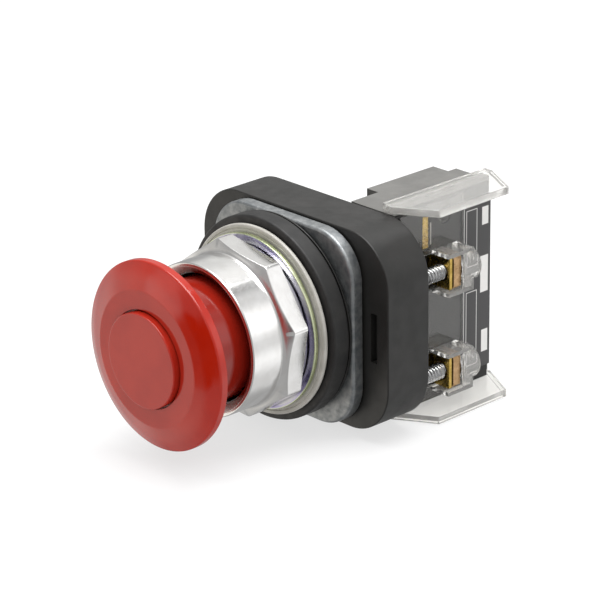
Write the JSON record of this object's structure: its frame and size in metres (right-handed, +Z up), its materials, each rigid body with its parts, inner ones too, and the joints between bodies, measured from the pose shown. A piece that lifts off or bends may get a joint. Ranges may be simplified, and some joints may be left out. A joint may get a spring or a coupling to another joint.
{
  "type": "emergency stop button",
  "caption": "Panel-mounted push-pull emergency stop operator with a red mushroom head, octagonal nut, rear housing and a side contact block with screw terminals.",
  "frame": {"origin": "operator axis at the plane where the gasket seats on the panel's rear face", "axes": "+Y into the panel along the push direction, towards the contact block; -Y towards the user; +Z up; +X towards the terminals"},
  "size_m": [0.0529, 0.0796, 0.045],
  "materials": {
    "head_red": "semi-gloss moulded red",
    "plunger_red": "moulded red",
    "polished_metal": "polished",
    "passivated_zinc": "zinc plated, iridescent passivated",
    "washer_grey": "off-white grey, satin",
    "black_rubber": "black rubber",
    "cast_zinc": "grey die-cast zinc, slightly rough",
    "black_plastic": "fine textured black",
    "grey_plastic": "dark grey moulded",
    "clear_plastic": "clear moulded",
    "steel": "bright zinc plated",
    "brass": "bright brass",
    "copper_alloy": "copper alloy",
    "nylon": "natural nylon",
    "label": "blank dark label"
  },
  "bodies": {
    "operator": {"operator_bushing": "cast_zinc", "mounting_nut": "polished_metal", "wiper_seal": "black_rubber", "shaft_guide": "nylon", "detent_ball_upper": "steel", "detent_ball_lower": "steel", "detent_ring_spring": "steel", "thrust_washer": "passivated_zinc", "trim_washer": "washer_grey", "front_gasket": "black_rubber", "backing_ring": "black_plastic", "die_cast_plate": "cast_zinc", "rear_housing": "black_plastic", "plate_screw_upper": "steel", "plate_screw_lower": "steel", "contact_block_body": "grey_plastic", "block_screw_upper": "steel", "block_screw_lower": "steel", "return_spring": "steel", "contact_strip": "brass", "fixed_contact_upper": "brass", "fixed_contact_lower": "brass", "clear_cover": "clear_plastic", "terminal_guard_upper": "clear_plastic", "terminal_guard_lower": "clear_plastic", "label_plate": "label"},
    "head_assembly": {"mushroom_head": "head_red", "head_centre_cap": "head_red", "head_sleeve": "head_red", "head_screw": "steel", "plunger_shaft": "steel", "actuator_foot": "nylon", "retaining_clip": "steel"},
    "plunger_assembly": {"contact_plunger": "plunger_red", "contact_bridge": "copper_alloy", "bridge_spring": "steel"},
    "upper_clamp": {"saddle_clamp_upper": "copper_alloy"},
    "upper_screw": {"terminal_screw_upper": "steel"},
    "lower_clamp": {"saddle_clamp_lower": "copper_alloy"},
    "lower_screw": {"terminal_screw_lower": "steel"}
  },
  "joints": [
    {"name": "push_pull", "type": "slide", "parent": "operator", "child": "head_assembly", "axis": [0, 1, 0], "range_m": [0, 0.006]},
    {"name": "contact_push", "type": "slide", "parent": "operator", "child": "plunger_assembly", "axis": [0, 1, 0], "range_m": [0, 0.006], "deforming": ["return_spring"]},
    {"name": "upper_clamp_travel", "type": "slide", "parent": "operator", "child": "upper_clamp", "axis": [0, 1, 0], "range_m": [0, 0.002]},
    {"name": "upper_screw_turn", "type": "hinge", "parent": "upper_clamp", "child": "upper_screw", "pos_m": [0.0202, 0.0331, 0.0071], "axis": [0, 1, 0], "range_deg": [0, 900]},
    {"name": "lower_clamp_travel", "type": "slide", "parent": "operator", "child": "lower_clamp", "axis": [0, 1, 0], "range_m": [0, 0.002]},
    {"name": "lower_screw_turn", "type": "hinge", "parent": "lower_clamp", "child": "lower_screw", "pos_m": [0.0202, 0.0331, -0.014], "axis": [0, 1, 0], "range_deg": [0, 900]}
  ],
  "couplings": [
    {"joint": "contact_push", "follows": "push_pull", "ratio": 1},
    {"joint": "upper_screw_turn", "follows": "upper_clamp_travel", "rad_per_m": 7854},
    {"joint": "lower_screw_turn", "follows": "lower_clamp_travel", "rad_per_m": 7854}
  ]
}
